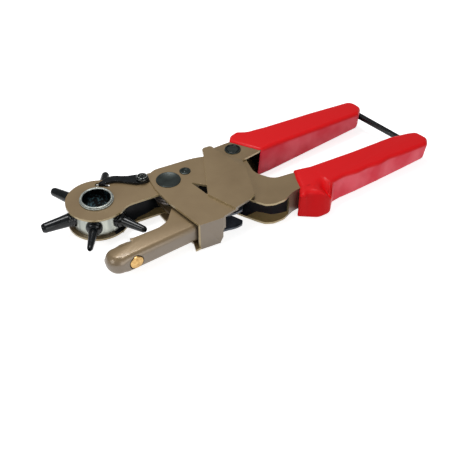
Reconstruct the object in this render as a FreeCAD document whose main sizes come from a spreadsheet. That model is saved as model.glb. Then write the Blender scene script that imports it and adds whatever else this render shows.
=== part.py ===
import FreeCAD, Part
import math
import os

# Revolving hole punch pliers with a compound lever, latched shut as for storage.
# Origin: axis of the punch drum, at the mid plane of the tool.
# +X runs along the tool to the handles, +Z is square to the plates. Millimetres.

doc = FreeCAD.newDocument("hole_punch_pliers")
sheet = doc.addObject("Spreadsheet::Sheet", "Sizes")

# Driving sizes in millimetres, and angles in degrees.
sizes = {
    "steel": 1.4,
    "side_gap": 0.2,
    "running_fit": 0.05,
    "turret_half": 8.1,
    "head_radius": 18.7,
    "pivot_drop": 3.6,
    "pivot_span": 48.9,
    "handle_pivot_rise": 10.0,
    "jaw_depth": 43.4,
    "flange_gap": 1.8,
    "turret_boss": 11.0,
    "anvil_boss": 8.6,
    "nose_radius": 7.4,
    "fold_radius": 3.8,
    "handle_length": 100.6,
    "grip_drop": 36.0,
    "tang_half": 5.0,
    "handle_boss": 5.9,
    "drum_radius": 16.2,
    "drum_gap": 0.2,
    "drum_angle": 2.0,
    "tip_radius": 35.1,
    "tube_clearance": 0.5,
    "collar_radius": 5.0,
    "collar_length": 3.2,
    "collar_seat": 15.4,
    "shank_radius": 3.1,
    "shank_length": 4.2,
    "tube_wall": 0.75,
    "tube_taper": 0.95,
    "bevel_length": 1.2,
    "edge_wall": 0.15,
    "anvil_play": 0.3,
    "anvil_radius": 4.6,
    "anvil_proud": 0.3,
    "axle_bore": 8.5,
    "axle_radius": 9.3,
    "axle_flange": 9.9,
    "axle_lip": 0.9,
    "washer_thick": 1.0,
    "washer_radius": 10.3,
    "main_shank": 5.0,
    "main_head": 7.6,
    "main_head_thick": 0.5,
    "bush_radius": 7.2,
    "shim_thick": 0.3,
    "shim_radius": 8.0,
    "frame_rivet_head": 3.5,
    "frame_rivet_shank": 1.8,
    "handle_shank": 3.2,
    "handle_head": 4.9,
    "handle_head_thick": 0.7,
    "thrust_radius": 2.0,
    "thrust_end": 1.4,
    "thrust_boss": 4.5,
    "thrust_gap": 0.3,
    "spring_wire": 1.8,
    "spring_radius": 8.5,
    "spring_pitch": 2.4,
    "spring_turns": 3,
    "lever_gap": 0.4,
    "screw_head": 3.4,
    "screw_head_thick": 1.8,
    "screw_shank": 1.5,
    "latch_thick": 2.8,
    "latch_width": 2.9,
    "latch_pin": 1.4,
    "latch_boss": 3.2,
    "latch_slot": 1.8,
    "upper_grip_half": 10.7,
    "lower_grip_half": 9.7,
    "grip_rear_half": 6.3,
    "grip_round": 2.6,
    "overrun": 5.0,
}
for row, (alias, value) in enumerate(sizes.items(), start=1):
    sheet.set("A%d" % row, alias)
    sheet.set("B%d" % row, str(value))
    sheet.setAlias("B%d" % row, alias)
doc.recompute()

steel = sizes["steel"]
overrun = sizes["overrun"]
fit = sizes["running_fit"]
anvil_close_angle = 4.5
handle_close_angle = 18.0
punch_bores = [2.0, 2.5, 3.0, 3.5, 4.0, 4.5]

# Levels of the plates above the mid plane: each pair of cheeks nests in the next.
turret_half = sizes["turret_half"]
turret_inner = turret_half - steel
anvil_half = turret_inner - 2 * sizes["side_gap"]
anvil_inner = anvil_half - steel
lower_half = turret_half - sizes["side_gap"]
lower_inner = lower_half - steel
plate_half = turret_half + steel
tang_half = sizes["tang_half"]

# The two fixed pivots in plan.
reach = (sizes["tip_radius"] + sizes["tube_clearance"] + sizes["spring_radius"]
         + sizes["spring_wire"] / 2)
span = sizes["pivot_span"]
depth = sizes["jaw_depth"]
length = sizes["handle_length"]
drop = sizes["grip_drop"]
pivot_x = reach
pivot_y = -sizes["pivot_drop"]
handle_x = pivot_x + span
handle_y = pivot_y + sizes["handle_pivot_rise"]


def vector(x, y, z=0.0):
    return FreeCAD.Vector(x, y, z)


def jaw(share_x, share_y, corner=0.0):
    """A plan point left of the main pivot, in shares of the reach and the jaw depth."""
    return (pivot_x + share_x * reach, pivot_y + share_y * depth, corner * depth)


def lever(share_x, share_y, corner=0.0):
    """A plan point right of the main pivot, in shares of the pivot span and the jaw depth."""
    return (pivot_x + share_x * span, pivot_y + share_y * depth, corner * depth)


def handle(share_x, share_y, corner=0.0):
    """A plan point behind the handle pivot, in shares of handle length and grip drop."""
    return (handle_x + share_x * length, handle_y + share_y * drop, corner * drop)


def turned(x, y, centre_x, centre_y, degrees):
    """A plan point turned about a centre, counterclockwise seen from above."""
    angle = math.radians(degrees)
    arm_x = x - centre_x
    arm_y = y - centre_y
    new_x = centre_x + arm_x * math.cos(angle) - arm_y * math.sin(angle)
    new_y = centre_y + arm_x * math.sin(angle) + arm_y * math.cos(angle)
    return (new_x, new_y)


def outline(points):
    """Straight edges through the corner points, with an arc where a corner has a radius."""
    starts = []
    stops = []
    middles = []
    count = len(points)
    for index in range(count):
        before = vector(*points[index - 1][:2])
        corner = vector(*points[index][:2])
        after = vector(*points[(index + 1) % count][:2])
        radius = points[index][2] if len(points[index]) > 2 else 0.0
        if radius > 0:
            back = (before - corner).normalize()
            ahead = (after - corner).normalize()
            half = back.getAngle(ahead) / 2
            cut = radius / math.tan(half)
            starts.append(corner + back * cut)
            stops.append(corner + ahead * cut)
            bisector = (back + ahead).normalize()
            middles.append(corner + bisector * (radius / math.sin(half) - radius))
        else:
            starts.append(corner)
            stops.append(corner)
            middles.append(None)
    edges = []
    for index in range(count):
        if middles[index] is not None:
            arc = Part.Arc(starts[index], middles[index], stops[index])
            edges.append(arc)
        following = (index + 1) % count
        if stops[index].distanceToPoint(starts[following]) > Part.Precision.confusion():
            edges.append(Part.LineSegment(stops[index], starts[following]))
    return edges


def circle(x, y, radius):
    return [Part.Circle(vector(x, y), vector(0, 0, 1), radius)]


def new_body(name):
    body = doc.addObject("PartDesign::Body", name)
    body.Label = name
    return body


def sketch(body, name, edges, role="XY_Plane", offset=0.0):
    """A sketch on one of the body's own origin planes, raised by an offset."""
    plane = next(item for item in body.Origin.OriginFeatures if item.Role == role)
    made = body.newObject("Sketcher::SketchObject", name)
    made.AttachmentSupport = (plane, [""])
    made.MapMode = "FlatFace"
    made.AttachmentOffset = FreeCAD.Placement(vector(0, 0, offset), FreeCAD.Rotation())
    made.addGeometry(edges, False)
    return made


def pad(body, name, edges, length_rule, offset=None):
    """A pad symmetric about the mid plane, or upwards from an offset."""
    feature = body.newObject("PartDesign::Pad", name)
    feature.Profile = sketch(body, name + "_outline", edges, offset=offset or 0.0)
    feature.SideType = "Symmetric" if offset is None else "One side"
    feature.setExpression("Length", length_rule)
    doc.recompute()
    return feature


def pocket(body, name, edges, length_rule=None, side=None, role="XY_Plane", offset=0.0):
    """A pocket symmetric about its plane, or to one side; without a length it goes right through."""
    before = body.Shape.Volume
    feature = body.newObject("PartDesign::Pocket", name)
    feature.Profile = sketch(body, name + "_outline", edges, role, offset)
    feature.SideType = "One side" if side else "Symmetric"
    feature.Reversed = side == "up"
    if length_rule is None:
        feature.Type = "ThroughAll"
    else:
        feature.setExpression("Length", length_rule)
    doc.recompute()
    if body.Shape.Volume >= before:
        raise RuntimeError(name + " cuts nothing")
    return feature


def cylinder(name, radius_rule, height_rule, x, y, z):
    """A standing cylinder from height z up."""
    made = doc.addObject("Part::Cylinder", name)
    made.setExpression("Radius", radius_rule)
    made.setExpression("Height", height_rule)
    made.Placement = FreeCAD.Placement(vector(x, y, z), FreeCAD.Rotation())
    return made


def fused(name, pieces):
    made = doc.addObject("Part::MultiFuse", name)
    made.Shapes = pieces
    made.Label = name
    return made


def cut(name, base, tool):
    made = doc.addObject("Part::Cut", name)
    made.Base = base
    made.Tool = tool
    made.Label = name
    return made


# Turret jaw: a stamped channel whose round head holds the punch drum.
head = sizes["head_radius"]
screw_x = pivot_x - 0.307 * reach
screw_y = pivot_y + 0.184 * depth
spine_x = pivot_x - 0.2 * reach
spine_y = pivot_y + 0.297 * depth
turret = new_body("turret_jaw")
turret_rule = "2 * Sizes.turret_half"
pad(turret, "turret_head", circle(0, 0, head), turret_rule)
neck_points = [
    jaw(-0.811, -0.318),
    jaw(-0.683, -0.205, 0.28),
    jaw(-0.20, -0.196),
    lever(0.10, -0.24),
    lever(0.389, -0.10, 0.10),
    (pivot_x + 0.389 * span, spine_y, 0.05 * depth),
    (pivot_x, spine_y),
    jaw(-0.333, 0.318),
    jaw(-0.556, 0.369, 0.30),
    jaw(-0.822, 0.475),
]
pad(turret, "turret_neck", outline(neck_points), turret_rule)
pad(turret, "turret_boss_disc", circle(pivot_x, pivot_y, sizes["turret_boss"]), turret_rule)
tail_x = pivot_x + 0.389 * span
turret_space = [
    (-head - overrun, -head - overrun),
    (tail_x + overrun, -head - overrun),
    (tail_x + overrun, spine_y - steel),
    (spine_x, spine_y - steel),
    (spine_x, head + overrun),
    (-head - overrun, head + overrun),
]
pocket(turret, "turret_space", outline(turret_space), "2 * (Sizes.turret_half - Sizes.steel)")
pocket(turret, "axle_hole", circle(0, 0, sizes["axle_radius"]))
pocket(turret, "main_hole_turret", circle(pivot_x, pivot_y, sizes["main_shank"]))
pocket(turret, "screw_hole", circle(screw_x, screw_y, sizes["screw_shank"]), side="up")

# The index nose reaches the drum through a slanting window in the upper cheek.
window_angle = math.radians(124.0)
window_place = (head + sizes["axle_flange"]) / 2
window_x = window_place * math.cos(window_angle - math.radians(68.0))
window_y = window_place * math.sin(window_angle - math.radians(68.0))
window_long = 0.24 * head
window_wide = 0.10 * head


def slanted_box(x, y, half_long, half_wide, angle):
    """A rectangle about a centre, its long side at an angle to +X."""
    corners = []
    for side_long, side_wide in ((-1, -1), (1, -1), (1, 1), (-1, 1)):
        along = side_long * half_long
        across = side_wide * half_wide
        point_x = x + along * math.cos(angle) - across * math.sin(angle)
        point_y = y + along * math.sin(angle) + across * math.cos(angle)
        corners.append((point_x, point_y, half_wide * 0.6))
    return corners


window_slope = math.radians(-30.0)
window_box = slanted_box(window_x, window_y, window_long, window_wide, window_slope)
pocket(turret, "index_window", outline(window_box), side="up")
frame_rivet_x = pivot_x + 0.258 * span
frame_rivet_y = pivot_y + 0.076 * depth
pocket(
    turret,
    "frame_rivet_holes_turret",
    circle(frame_rivet_x, frame_rivet_y, sizes["frame_rivet_shank"]),
)

# Thrust pin of the lower handle, and its path over the tail of the anvil jaw.
thrust_x = pivot_x + 0.266 * span
thrust_y = pivot_y - 0.459 * depth


def thrust_seen_from_jaw(handle_turn):
    """Centre of the thrust pin in the frame of the anvil jaw while the handle closes."""
    moved = turned(thrust_x, thrust_y, handle_x, handle_y, handle_turn)
    jaw_turn = anvil_close_angle * handle_turn / handle_close_angle
    return turned(moved[0], moved[1], pivot_x, pivot_y, jaw_turn)


def tail_edge(handle_turn):
    """A point of the tail's edge, the pin's radius and a gap below the path of the pin."""
    step = handle_close_angle / 20
    here = thrust_seen_from_jaw(handle_turn)
    ahead = thrust_seen_from_jaw(handle_turn + step)
    run_x = ahead[0] - here[0]
    run_y = ahead[1] - here[1]
    size = math.hypot(run_x, run_y)
    stand_off = sizes["thrust_radius"] + sizes["thrust_gap"]
    return (here[0] + stand_off * run_y / size, here[1] - stand_off * run_x / size)


# Anvil jaw: a narrower channel with a closed round nose, its back on the far side.
anvil = new_body("anvil_jaw_plate")
nose = sizes["nose_radius"]
nose_left = pivot_x - 1.28 * reach
nose_low = pivot_y - 1.19 * depth
nose_high = nose_low + 2.21 * nose
fold_end = lever(0.27, -0.965)
step_x = pivot_x - 0.88 * reach
strip = 0.13 * depth
back_rise = (pivot_y - depth - nose_low) / (pivot_x - 0.04 * span - nose_left)
fold_points = [
    (nose_left, nose_low, nose * 1.04),
    lever(-0.04, -1.0, 1.5),
    fold_end,
    (fold_end[0], fold_end[1] + strip),
    (step_x, nose_low + (step_x - nose_left) * back_rise + strip),
    (step_x, nose_high),
    (nose_left, nose_high, nose * 0.92),
]
anvil_rule = "2 * (Sizes.turret_half - Sizes.steel - 2 * Sizes.side_gap)"
anvil_fold_pad = pad(anvil, "anvil_back", outline(fold_points), anvil_rule)
folded = []
for number, edge in enumerate(anvil_fold_pad.Shape.Edges, start=1):
    middle = edge.valueAt((edge.FirstParameter + edge.LastParameter) / 2)
    outer = abs(abs(middle.z) - anvil_half) < fit
    on_nose = middle.x < step_x - fit
    on_back = middle.y < nose_low + (middle.x - nose_left) * back_rise + strip / 2
    if outer and (on_nose or on_back) and middle.x < fold_end[0] - fit:
        folded.append("Edge%d" % number)
anvil_folds = anvil.newObject("PartDesign::Fillet", "anvil_folds")
anvil_folds.Base = (anvil_fold_pad, folded)
anvil_folds.setExpression("Radius", "Sizes.fold_radius")
doc.recompute()
anvil_points = [
    (step_x, nose_low + (step_x - nose_left) * back_rise + 0.9 * strip),
    (fold_end[0], fold_end[1] + 0.9 * strip),
    fold_end,
    lever(0.36, -0.962, 0.8),
    lever(0.50, -0.985, 0.20),
    lever(0.595, -0.965, 0.05),
    lever(0.632, -0.900, 0.03),
    tail_edge(handle_close_angle),
    tail_edge(handle_close_angle / 2),
    tail_edge(0.0),
    lever(0.20, -0.475),
    lever(0.15, -0.12),
    jaw(-0.17, -0.10),
    jaw(-0.10, -0.40, 0.25),
    jaw(-0.32, -0.72, 0.20),
    jaw(-0.46, -0.785, 0.20),
    jaw(-0.83, -0.822),
    (step_x, nose_high),
]
pad(anvil, "anvil_cheeks", outline(anvil_points), anvil_rule)
pad(anvil, "anvil_boss_disc", circle(pivot_x, pivot_y, sizes["anvil_boss"]), anvil_rule)
nose_open = pivot_x - 1.10 * reach
anvil_space = [
    (nose_left + steel, nose_low + steel, nose * 1.04 - steel),
    (lever(-0.04, -1.0)[0], lever(-0.04, -1.0)[1] + steel, 1.5 * depth),
    (lever(0.32, -0.962)[0], lever(0.32, -0.962)[1] + steel),
    (lever(0.32, -1.1)[0], lever(0.32, -1.1)[1]),
    (lever(0.80, -1.1)[0], lever(0.80, -1.1)[1]),
    (lever(0.80, 0.5)[0], lever(0.80, 0.5)[1]),
    (nose_open, lever(0.80, 0.5)[1]),
    (nose_open, nose_high - steel),
    (nose_left + steel, nose_high - steel, nose - 2 * steel),
]
pocket(anvil, "anvil_space", outline(anvil_space),
       "2 * (Sizes.turret_half - 2 * Sizes.steel - 2 * Sizes.side_gap)")
pocket(anvil, "main_hole_anvil", circle(pivot_x, pivot_y, sizes["main_shank"] + fit))

# Brass anvil: at the end of the stroke its face lies square to the tube above it.
anvil_turn = anvil_close_angle
closed_face = -(sizes["tip_radius"] + sizes["anvil_play"])
face_x, face_y = turned(0.0, closed_face, pivot_x, pivot_y, anvil_turn)
axis_x = -math.sin(math.radians(anvil_turn))
axis_y = math.cos(math.radians(anvil_turn))
back_slope = (lever(-0.04, -1.0)[1] - nose_low) / (lever(-0.04, -1.0)[0] - nose_left)
back_y = nose_low + (face_x - nose_left) * back_slope
anvil_height = (face_y - back_y) / axis_y + sizes["anvil_proud"]
anvil_base = vector(face_x - axis_x * anvil_height, face_y - axis_y * anvil_height, 0)
anvil_rotation = FreeCAD.Rotation(vector(0, 0, 1), vector(axis_x, axis_y, 0))
brass = doc.addObject("Part::Cylinder", "brass_rod")
brass.setExpression("Radius", "Sizes.anvil_radius")
brass.Height = anvil_height
brass.Placement = FreeCAD.Placement(anvil_base, anvil_rotation)
brass_bevel = doc.addObject("Part::Chamfer", "brass_anvil")
brass_bevel.Label = "brass_anvil"
brass_bevel.Base = brass
doc.recompute()
bevel = sizes["anvil_proud"]
rims = [n for n, e in enumerate(brass.Shape.Edges, start=1) if len(e.Vertexes) == 1]
brass_bevel.Edges = [(number, bevel, bevel) for number in rims]
anvil_hole = doc.addObject("Part::Cut", "anvil_jaw")
anvil_hole.Base = anvil
anvil_hole.Tool = brass

# Upper handle frame: a wider channel over the turret jaw, raised to a bridge in the middle.
frame = new_body("upper_handle_frame")
plate_rule = "2 * (Sizes.turret_half + Sizes.steel)"
flange_face = pivot_y - depth - sizes["flange_gap"] - steel
flange_end = pivot_x + 0.305 * span
wall_x = handle_x + 0.18 * length
plate_points = [
    jaw(-0.22, 0.309, 0.20),
    jaw(-0.232, -0.10, 0.30),
    jaw(-0.20, -0.40, 0.6),
    (pivot_x - 0.02 * reach, flange_face, 0.04 * depth),
    (flange_end, flange_face, 0.02 * depth),
    lever(0.31, -1.05),
    lever(0.716, -0.922),
    lever(0.815, -0.855, 0.05),
    lever(0.902, -0.507, 0.5),
    lever(0.949, -0.316, 0.5),
    lever(1.0, -0.058, 0.02),
    lever(1.309, 0.028),
    (wall_x, handle_y - 0.235 * drop),
    (wall_x, handle_y + 0.25 * drop),
    lever(0.971, 0.415, 0.6),
    lever(0.808, 0.396),
    lever(0.61, 0.27),
    lever(0.45, 0.309, 0.8),
]
pad(frame, "frame_plate", outline(plate_points), plate_rule)
bridge_points = [
    lever(0.303, -0.567),
    lever(0.49, -0.999),
    lever(0.716, -0.922),
    lever(0.815, -0.855, 0.05),
    lever(0.902, -0.507, 0.5),
    lever(0.949, -0.316, 0.5),
    lever(0.992, -0.085),
    lever(0.853, 0.08, 0.3),
    lever(0.79, 0.33),
    lever(0.765, 0.425, 0.05),
    lever(0.632, 0.425, 0.07),
    lever(0.612, 0.31),
]
pad(frame, "frame_bridge", outline(bridge_points), "2 * Sizes.steel", turret_half)
frame_under = [
    lever(0.225, -0.184, 0.012),
    lever(0.305, -0.516),
    lever(0.35, -0.555),
    lever(0.53, -0.94),
    lever(0.53, -1.2),
    lever(1.2, -1.2),
    lever(1.2, -0.115),
    lever(0.965, -0.115),
    lever(0.88, -0.02),
    lever(0.55, -0.53, 0.05),
]
pocket(frame, "frame_under_bridge", outline(frame_under), "Sizes.turret_half + Sizes.steel", "up")
spine_in = [
    (pivot_x - 0.5 * reach, flange_face + steel),
    (wall_x - steel, flange_face + steel),
    (wall_x - steel, handle_y + 0.25 * drop - steel),
    (lever(0.971, 0.415)[0], lever(0.971, 0.415)[1] - steel, 0.6 * depth),
    (lever(0.80, 0.385)[0], lever(0.80, 0.385)[1] - steel),
    lever(0.80, 0.7),
    (pivot_x - 0.5 * reach, lever(0.80, 0.7)[1]),
]
pocket(frame, "frame_space", outline(spine_in), "2 * Sizes.turret_half")

# The lower plate is cut back from the lever's path, the flange loses a corner and gains a foot.
frame_cut = [
    lever(0.290, -1.3),
    lever(0.290, -1.005),
    lever(0.597, -0.585),
    lever(0.88, -0.424),
    lever(1.33, -0.332),
    lever(1.33, -1.3),
]
pocket(frame, "frame_underside_cut", outline(frame_cut), side="down")
flange_corner = [
    (flange_end - 0.05 * span, -plate_half - overrun),
    (flange_end - 0.05 * span, -plate_half + 0.5 * steel),
    (flange_end, -0.4 * plate_half),
    (flange_end + overrun, -0.4 * plate_half),
    (flange_end + overrun, -plate_half - overrun),
]
pocket(frame, "flange_corner_cut", outline(flange_corner), "4 * Sizes.steel", role="XZ_Plane",
       offset=-(flange_face + steel / 2))
foot_points = [
    (pivot_x - 0.02 * reach, flange_face, 0.02 * depth),
    lever(0.1, -1.04),
    (pivot_x - 0.04 * reach, flange_face + 0.2 * depth),
    (pivot_x - 0.09 * reach, flange_face - 0.01 * depth, 0.01 * depth),
]
foot = frame.newObject("PartDesign::Pad", "frame_foot")
foot.Profile = sketch(frame, "frame_foot_outline", outline(foot_points), offset=-plate_half)
foot.SideType = "One side"
foot.setExpression("Length", "Sizes.steel")
doc.recompute()

# The frame narrows behind a step to a tang that carries the upper grip.
tang_rule = "2 * Sizes.tang_half"
tang_space_rule = "2 * (Sizes.tang_half - Sizes.steel)"
tang_points = [
    (wall_x - steel, handle_y - 0.17 * drop),
    handle(0.90, 0.10),
    handle(0.993, 0.13, 0.06),
    handle(0.993, 0.375, 0.10),
    handle(0.90, 0.40),
    (wall_x - steel, handle_y + 0.25 * drop),
]
pad(frame, "frame_tang", outline(tang_points), tang_rule)
tang_space = [
    (wall_x - 3 * steel, handle_y - 2 * drop),
    (handle_x + 1.2 * length, handle_y - 2 * drop),
    (handle_x + 1.2 * length, handle_y + drop),
    (handle_x + 0.905 * length, handle_y + drop),
    (handle_x + 0.905 * length, handle(0.90, 0.40)[1] - steel),
    (wall_x - 3 * steel, handle_y + 0.25 * drop - steel),
]
pocket(frame, "tang_space", outline(tang_space), tang_space_rule)
pocket(frame, "main_hole_frame", circle(pivot_x, pivot_y, sizes["main_shank"]))
pocket(frame, "handle_hole_frame", circle(handle_x, handle_y, sizes["handle_shank"]))
pocket(frame, "rivet_holes_frame",
       circle(frame_rivet_x, frame_rivet_y, sizes["frame_rivet_shank"]))
catch_x, catch_y = handle(0.962, 0.20)[:2]
pocket(frame, "catch_hole", circle(catch_x, catch_y, sizes["latch_pin"]))

# Lower handle frame: straddles the jaw's tail, hinged on the handle pivot.
lower = new_body("lower_handle_frame")
lower_rule = "2 * (Sizes.turret_half - Sizes.side_gap)"
lower_wall_x = handle_x + 0.293 * length
lower_points = [
    lever(0.925, 0.33),
    lever(0.205, -0.378),
    (thrust_x + 0.3 * sizes["thrust_boss"], thrust_y - 0.95 * sizes["thrust_boss"]),
    lever(0.616, -0.62, 0.08),
    lever(0.70, -0.77, 0.4),
    lever(0.81, -0.954, 0.2),
    lever(0.877, -1.05, 0.12),
    lever(0.98, -1.092, 0.16),
    lever(1.125, -1.08, 0.20),
    lever(1.30, -0.975, 0.4),
    (lower_wall_x, handle_y - 1.385 * drop),
    (lower_wall_x, handle_y - 1.04 * drop),
    lever(1.44, -0.606),
    lever(1.20, -0.600, 0.20),
    lever(1.04, -0.355, 0.25),
    (handle_x + 0.9 * sizes["handle_boss"], handle_y),
]
pad(lower, "lower_plate", outline(lower_points), lower_rule)
pad(lower, "lower_boss_disc", circle(handle_x, handle_y, sizes["handle_boss"]), lower_rule)
pad(lower, "lower_thrust_disc", circle(thrust_x, thrust_y, sizes["thrust_boss"]), lower_rule)
window_end = pivot_x + 1.215 * span
lower_space = [
    (pivot_x, handle_y - 3 * drop),
    (window_end, handle_y - 3 * drop),
    (window_end, lever(1.125, -1.08)[1] + 4 * steel, 0.05 * depth),
    (lower_wall_x - steel, handle_y - 1.385 * drop + 2 * steel),
    (lower_wall_x - steel, handle_y + drop),
    (pivot_x, handle_y + drop),
]
pocket(lower, "lower_space", outline(lower_space),
       "2 * (Sizes.turret_half - Sizes.side_gap - Sizes.steel)")
lower_tang_points = [
    (lower_wall_x - steel, handle_y - 1.385 * drop),
    handle(0.56, -1.395),
    handle(1.12, -1.260),
    handle(1.165, -1.15, 0.08),
    handle(1.155, -0.95, 0.08),
    (lower_wall_x - steel, handle_y - 1.04 * drop),
]
pad(lower, "lower_tang", outline(lower_tang_points), tang_rule)
lower_tang_space = [
    (lower_wall_x - 3 * steel, handle_y - 1.385 * drop + steel),
    (handle(0.56, -1.395)[0], handle(0.56, -1.395)[1] + steel),
    (handle(1.12, -1.260)[0], handle(1.12, -1.260)[1] + steel),
    (handle(1.30, -1.20)[0], handle(1.30, -1.20)[1]),
    handle(1.30, 0.0),
    (lower_wall_x - 3 * steel, handle_y),
]
pocket(lower, "lower_tang_space", outline(lower_tang_space), tang_space_rule)
pocket(lower, "handle_hole_lower", circle(handle_x, handle_y, sizes["handle_shank"] + fit))
pocket(lower, "thrust_hole", circle(thrust_x, thrust_y, sizes["thrust_end"]))
latch_x, latch_y = handle(1.125, -1.045)[:2]
pocket(lower, "latch_hole", circle(latch_x, latch_y, sizes["latch_pin"]))


def round_long_edges(body, name, rule, crease_x, least_height):
    """Round the edges that run round the top and the bottom face, but not a crease in them."""
    base = body.Tip
    chosen = []
    for number, edge in enumerate(base.Shape.Edges, start=1):
        ends = [vertex.Point for vertex in edge.Vertexes]
        same_side = ends[0].z * ends[-1].z > 0
        high = min(abs(end.z) for end in ends) > least_height
        crease = all(abs(end.x - crease_x) < fit for end in ends)
        if same_side and high and not crease:
            chosen.append("Edge%d" % number)
    rounding = body.newObject("PartDesign::Fillet", name)
    rounding.Base = (base, chosen)
    rounding.setExpression("Radius", rule)
    doc.recompute()
    return rounding


def tapered_grip(name, points, front_x, rear_x, front_size):
    """A moulded grip: the plan outline, thinner towards its rear end, its long edges rounded."""
    body = new_body(name)
    pad(body, name + "_block", outline(points), "2 * Sizes." + front_size)
    front = sizes[front_size]
    rear = sizes["grip_rear_half"]
    far = rear_x + 2 * overrun
    slope = (front - rear) / (rear_x - front_x)
    low = front - slope * (far - front_x)
    for side, label in ((1, "top"), (-1, "bottom")):
        wedge = [
            (front_x, side * front),
            (far, side * low),
            (far, side * (front + overrun)),
            (front_x, side * (front + overrun)),
        ]
        pocket(body, name + "_taper_" + label, outline(wedge), role="XZ_Plane")
    round_long_edges(body, name + "_rounding", "Sizes.grip_round", front_x, 0.9 * rear)
    return body


# Upper grip: a red moulded sleeve over the tang and the back of the frame.
upper_grip_points = [
    handle(0.012, 0.215),
    handle(0.05, 0.385, 0.10),
    handle(0.105, 0.445, 0.10),
    handle(0.170, 0.360, 0.35),
    handle(0.300, 0.365, 0.5),
    handle(0.655, 0.450),
    handle(1.00, 0.505, 0.16),
    handle(1.022, 0.24, 0.10),
    handle(0.965, 0.055, 0.10),
    handle(0.135, -0.270, 0.10),
]
upper_grip = tapered_grip(
    "upper_grip", upper_grip_points, handle_x + 0.23 * length, handle_x + length, "upper_grip_half"
)


upper_socket = [
    (handle_x - 0.2 * length, handle_y - 0.36 * drop),
    (wall_x + fit, handle_y - 0.235 * drop - fit),
    (wall_x + fit, handle_y + 0.25 * drop + fit),
    (lever(0.971, 0.415)[0], lever(0.971, 0.415)[1] + fit, 0.6 * depth),
    (lever(0.70, 0.36)[0], lever(0.70, 0.36)[1] + fit),
]
pocket(upper_grip, "upper_socket", outline(upper_socket), "2 * (Sizes.turret_half + Sizes.steel"
       " + Sizes.running_fit)")
upper_bore = [
    (wall_x - steel, handle_y - 0.17 * drop - fit),
    (handle(0.90, 0.10)[0], handle(0.90, 0.10)[1] - fit),
    (handle(0.993, 0.13)[0] + fit, handle(0.993, 0.13)[1] - fit),
    (handle(0.993, 0.375)[0] + fit, handle(0.993, 0.375)[1] + fit),
    (handle(0.90, 0.40)[0], handle(0.90, 0.40)[1] + fit),
    (wall_x - steel, handle_y + 0.25 * drop + fit),
]
bore_rule = "2 * (Sizes.tang_half + Sizes.running_fit)"
pocket(upper_grip, "upper_bore", outline(upper_bore), bore_rule)
upper_slot = [
    handle(0.972, -0.3),
    handle(1.2, -0.3),
    handle(1.2, 0.8),
    handle(0.925, 0.8),
    handle(0.925, 0.22),
    handle(0.972, 0.15),
]
pocket(upper_grip, "hook_slot", outline(upper_slot), "2 * Sizes.latch_slot")

# Lower grip: its front swells to a guard in front of the fingers.
lower_grip_points = [
    handle(0.243, -0.975),
    handle(0.216, -1.18),
    handle(0.195, -1.43),
    handle(0.150, -1.595),
    handle(0.262, -1.785, 0.2),
    handle(0.344, -1.77, 0.13),
    handle(0.405, -1.555, 0.12),
    handle(0.50, -1.49, 0.5),
    handle(0.59, -1.50, 0.5),
    handle(0.68, -1.45, 0.5),
    handle(0.77, -1.45, 0.5),
    handle(0.86, -1.38, 0.5),
    handle(0.95, -1.37, 0.5),
    handle(1.175, -1.31, 0.14),
    handle(1.212, -1.15, 0.10),
    handle(1.185, -0.90, 0.12),
    handle(1.12, -0.865, 0.2),
    handle(0.99, -0.842),
    handle(0.66, -0.94),
    handle(0.35, -1.005),
]
lower_grip = tapered_grip(
    "lower_grip", lower_grip_points, handle_x + 0.3 * length, handle_x + 1.2 * length,
    "lower_grip_half"
)
socket_end = pivot_x + 1.37 * span
lower_socket = [
    (handle_x, handle_y - 1.04 * drop + 0.3 * drop),
    (handle_x, handle_y - 1.9 * drop),
    (socket_end, handle_y - 1.9 * drop),
    (lever(1.30, -0.975)[0], lever(1.30, -0.975)[1] - 2 * fit),
    (lower_wall_x + fit, handle_y - 1.385 * drop - fit),
    (lower_wall_x + fit, handle_y - 1.04 * drop + fit),
    (lever(1.44, -0.606)[0], lever(1.44, -0.606)[1] + fit),
    (lever(1.20, -0.600)[0], lever(1.20, -0.600)[1] + fit),
]
lower_bore = [
    (lower_wall_x - steel, handle_y - 1.385 * drop - fit),
    (handle(0.56, -1.395)[0], handle(0.56, -1.395)[1] - fit),
    (handle(1.12, -1.260)[0], handle(1.12, -1.260)[1] - fit),
    (handle(1.165, -1.15)[0] + fit, handle(1.165, -1.15)[1] - fit),
    (handle(1.155, -0.95)[0] + fit, handle(1.155, -0.95)[1] + fit),
    (lower_wall_x - steel, handle_y - 1.04 * drop + fit),
]
pocket(lower_grip, "lower_socket", outline(lower_socket),
       "2 * (Sizes.turret_half - Sizes.side_gap + Sizes.running_fit)")
pocket(lower_grip, "lower_bore", outline(lower_bore), bore_rule)
lower_slot = [
    handle(0.99, -1.16, 0.10),
    handle(1.3, -1.16),
    handle(1.3, -0.5),
    handle(0.99, -0.5),
]
pocket(lower_grip, "latch_slot_cut", outline(lower_slot), "2 * Sizes.latch_slot")

# Punch drum: turned aluminium with six seats for the tubes and six index dimples.
drum = new_body("punch_drum")
pad(drum, "drum_disc", circle(0, 0, sizes["drum_radius"]),
    "2 * (Sizes.turret_half - Sizes.steel - Sizes.drum_gap)")
pocket(drum, "drum_bore", circle(0, 0, sizes["axle_radius"] + fit))
tube_hole = drum.newObject("PartDesign::Pocket", "tube_hole")
tube_hole.Profile = sketch(drum, "tube_hole_outline", circle(0, 0, sizes["shank_radius"]), "YZ_Plane")
tube_hole.Type = "ThroughAll"
tube_hole.SideType = "One side"
tube_hole.Reversed = True
tube_seat = drum.newObject("PartDesign::Pocket", "tube_seat")
seat_circle = circle(0, 0, sizes["collar_radius"] + fit)
tube_seat.Profile = sketch(drum, "tube_seat_outline", seat_circle, "YZ_Plane", sizes["collar_seat"])
tube_seat.Type = "ThroughAll"
tube_seat.SideType = "One side"
tube_seat.Reversed = True
drum_half = turret_inner - sizes["drum_gap"]
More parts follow.
